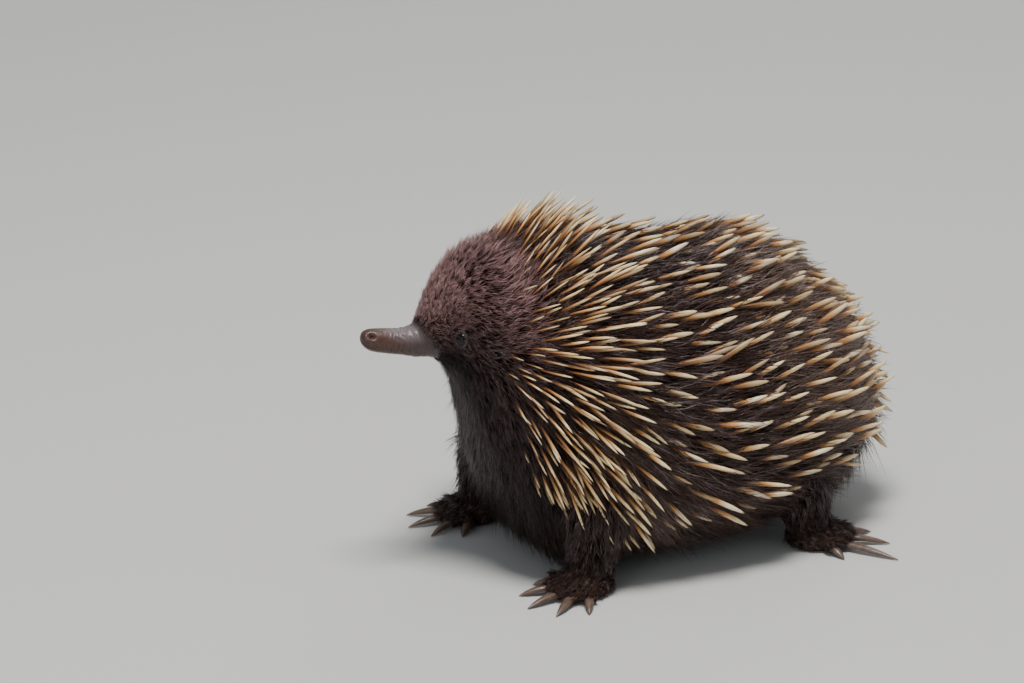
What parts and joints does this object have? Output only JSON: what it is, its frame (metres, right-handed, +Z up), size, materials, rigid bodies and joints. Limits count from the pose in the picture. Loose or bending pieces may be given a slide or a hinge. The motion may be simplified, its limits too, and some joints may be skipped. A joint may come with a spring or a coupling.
{
  "type": "short-beaked echidna",
  "caption": "Still life-size echidna: domed spiny body on short legs with digging claws, furred head with a slender beak, small eyes and ear slits.",
  "frame": {"origin": "middle of the whole animal's outline seen from above, at the level of its soles", "axes": "+X towards the rump, the beak pointing along -X; +Y towards the animal's right side; +Z up"},
  "size_m": [0.3687, 0.2466, 0.2323],
  "materials": {
    "beak_skin": "bare grey-brown skin, finely wrinkled at the base and glossy at the tip",
    "face_fur": "short dense dark reddish-brown fur with pale hair tips",
    "spiny_coat": "straw to orange-brown spines, some dark-tipped, through dark brown fur",
    "leg_fur": "short coarse dark brown fur",
    "foot_skin": "dull dark skin with sparse fur",
    "claw_horn": "dark brown horn, paler and worn at the tip",
    "eye_dark": "wet black-brown"
  },
  "bodies": {
    "root": {"beak": "beak_skin", "head": "face_fur", "neck": "spiny_coat", "torso": "spiny_coat", "tail": "foot_skin", "eye_left": "eye_dark", "eye_right": "eye_dark", "foreleg_left": "leg_fur", "foreleg_right": "leg_fur", "hindleg_left": "leg_fur", "hindleg_right": "leg_fur", "forefoot_left": "foot_skin", "forefoot_right": "foot_skin", "hindfoot_left": "foot_skin", "hindfoot_right": "foot_skin", "foreclaw_left_1": "claw_horn", "foreclaw_left_2": "claw_horn", "foreclaw_left_3": "claw_horn", "foreclaw_left_4": "claw_horn", "foreclaw_left_5": "claw_horn", "foreclaw_right_1": "claw_horn", "foreclaw_right_2": "claw_horn", "foreclaw_right_3": "claw_horn", "foreclaw_right_4": "claw_horn", "foreclaw_right_5": "claw_horn", "hindclaw_left_1": "claw_horn", "hindclaw_left_2": "claw_horn", "hindclaw_left_3": "claw_horn", "hindclaw_left_4": "claw_horn", "hindclaw_left_5": "claw_horn", "hindclaw_right_1": "claw_horn", "hindclaw_right_2": "claw_horn", "hindclaw_right_3": "claw_horn", "hindclaw_right_4": "claw_horn", "hindclaw_right_5": "claw_horn"}
  },
  "joints": []
}
